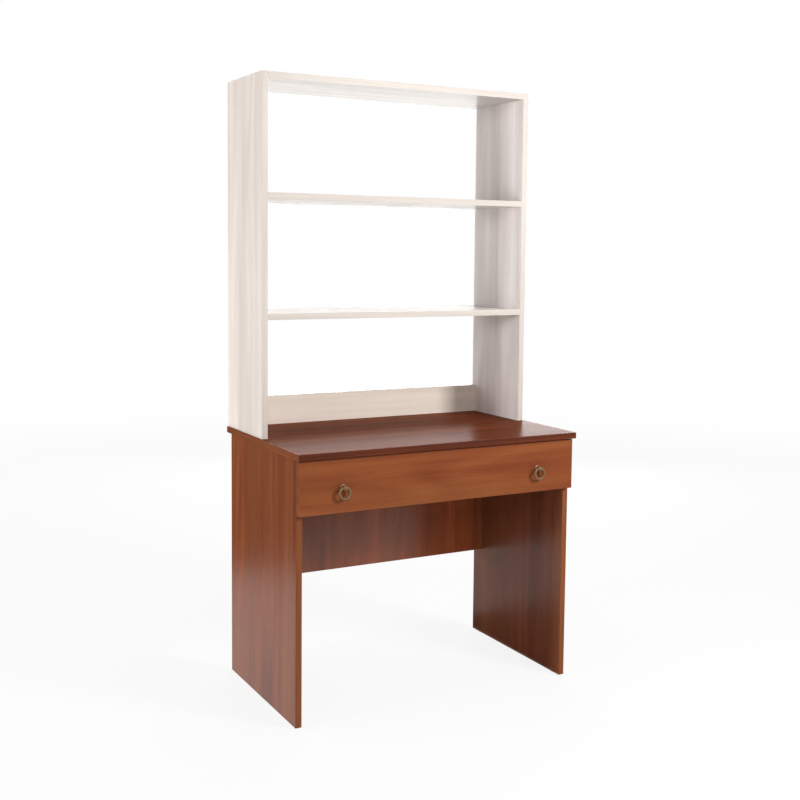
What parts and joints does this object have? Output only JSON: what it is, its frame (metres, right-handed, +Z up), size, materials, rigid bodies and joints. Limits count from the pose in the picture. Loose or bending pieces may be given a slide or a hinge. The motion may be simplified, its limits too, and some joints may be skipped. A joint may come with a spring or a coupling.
{
  "type": "student desk with hutch",
  "caption": "Student desk with a wide drawer on roller slides and ring pulls, panel sides and a modesty panel, under an open hutch with shelves and a low rear rail.",
  "frame": {"origin": "on the floor, under the middle of the desktop", "axes": "+X to the right of a person facing the desk's front, +Y to the rear, +Z up"},
  "size_m": [0.9, 0.5605, 1.784],
  "materials": {
    "walnut_laminate": "satin walnut-brown laminate with straight grain",
    "walnut_edge_band": "golden-brown edge band",
    "dark_edge_band": "dark red-brown edge band",
    "ash_laminate": "pale ash laminate with soft streaks",
    "ash_edge_band": "cream edge band",
    "drawer_board": "plain light board",
    "hardboard": "thin brown hardboard",
    "epoxy_steel": "white epoxy-coated sheet steel",
    "zinc_hardware": "zinc-plated",
    "nylon": "white nylon",
    "beech_dowel": "plain turned beech",
    "antique_brass": "dull antique brass"
  },
  "bodies": {
    "desk": {"cabinet_roller_axles": "zinc_hardware", "cabinet_runner_screws": "zinc_hardware", "desk_cam_bolts": "zinc_hardware", "desk_cam_locks": "zinc_hardware", "desk_dowels": "beech_dowel", "desktop": "walnut_laminate", "desktop_end_bands": "walnut_edge_band", "desktop_front_band": "dark_edge_band", "floor_glides": "nylon", "hutch_base_dowels": "beech_dowel", "hutch_cam_bolts": "zinc_hardware", "hutch_cam_locks": "zinc_hardware", "hutch_dowels": "beech_dowel", "hutch_left_front_band": "ash_edge_band", "hutch_left_side": "ash_laminate", "hutch_rear_rail": "ash_laminate", "hutch_right_front_band": "ash_edge_band", "hutch_right_side": "ash_laminate", "hutch_top": "ash_laminate", "hutch_top_front_band": "ash_edge_band", "left_cabinet_runner": "epoxy_steel", "left_side_front_band": "walnut_edge_band", "left_side_panel": "walnut_laminate", "lower_shelf": "ash_laminate", "lower_shelf_front_band": "ash_edge_band", "modesty_bottom_band": "walnut_edge_band", "modesty_panel": "walnut_laminate", "rail_screws": "zinc_hardware", "rail_top_band": "ash_edge_band", "right_cabinet_runner": "epoxy_steel", "right_side_front_band": "walnut_edge_band", "right_side_panel": "walnut_laminate", "upper_shelf": "ash_laminate", "upper_shelf_front_band": "ash_edge_band"},
    "drawer": {"drawer_back": "drawer_board", "drawer_bottom": "hardboard", "drawer_cam_bolts": "zinc_hardware", "drawer_cam_locks": "zinc_hardware", "drawer_corner_screws": "zinc_hardware", "drawer_front": "walnut_laminate", "drawer_front_bands": "walnut_edge_band", "drawer_left_side": "drawer_board", "drawer_right_side": "drawer_board", "drawer_roller_axles": "zinc_hardware", "drawer_runner_screws": "zinc_hardware", "left_drawer_runner": "epoxy_steel", "pull_post_left": "antique_brass", "pull_post_right": "antique_brass", "pull_screws": "zinc_hardware", "right_drawer_runner": "epoxy_steel"},
    "front_roller_left": {"front_roller_left": "nylon"},
    "front_roller_right": {"front_roller_right": "nylon"},
    "pull_ring_left": {"pull_ring_left": "antique_brass"},
    "pull_ring_right": {"pull_ring_right": "antique_brass"},
    "rear_roller_left": {"rear_roller_left": "nylon"},
    "rear_roller_right": {"rear_roller_right": "nylon"}
  },
  "joints": [
    {"name": "drawer_slide", "type": "slide", "parent": "desk", "child": "drawer", "axis": [0, -1, 0], "range_m": [0, 0.3]},
    {"name": "front_roller_left_spin", "type": "hinge", "parent": "desk", "child": "front_roller_left", "pos_m": [-0.4219, -0.2285, 0.608], "axis": [1, 0, 0], "range_deg": [0, 1720]},
    {"name": "rear_roller_left_spin", "type": "hinge", "parent": "drawer", "child": "rear_roller_left", "pos_m": [-0.4196, 0.162, 0.6063], "axis": [1, 0, 0], "range_deg": [0, 1720]},
    {"name": "front_roller_right_spin", "type": "hinge", "parent": "desk", "child": "front_roller_right", "pos_m": [0.4219, -0.2285, 0.608], "axis": [1, 0, 0], "range_deg": [0, 1720]},
    {"name": "rear_roller_right_spin", "type": "hinge", "parent": "drawer", "child": "rear_roller_right", "pos_m": [0.4196, 0.162, 0.6063], "axis": [1, 0, 0], "range_deg": [0, 1720]},
    {"name": "pull_ring_left_swing", "type": "hinge", "parent": "drawer", "child": "pull_ring_left", "pos_m": [-0.317, -0.278, 0.656], "axis": [-1, 0, 0], "range_deg": [-15, 100]},
    {"name": "pull_ring_right_swing", "type": "hinge", "parent": "drawer", "child": "pull_ring_right", "pos_m": [0.317, -0.278, 0.656], "axis": [-1, 0, 0], "range_deg": [-15, 100]}
  ],
  "couplings": [
    {"joint": "front_roller_left_spin", "follows": "drawer_slide", "rad_per_m": 100},
    {"joint": "rear_roller_left_spin", "follows": "drawer_slide", "rad_per_m": 100},
    {"joint": "front_roller_right_spin", "follows": "drawer_slide", "rad_per_m": 100},
    {"joint": "rear_roller_right_spin", "follows": "drawer_slide", "rad_per_m": 100}
  ]
}
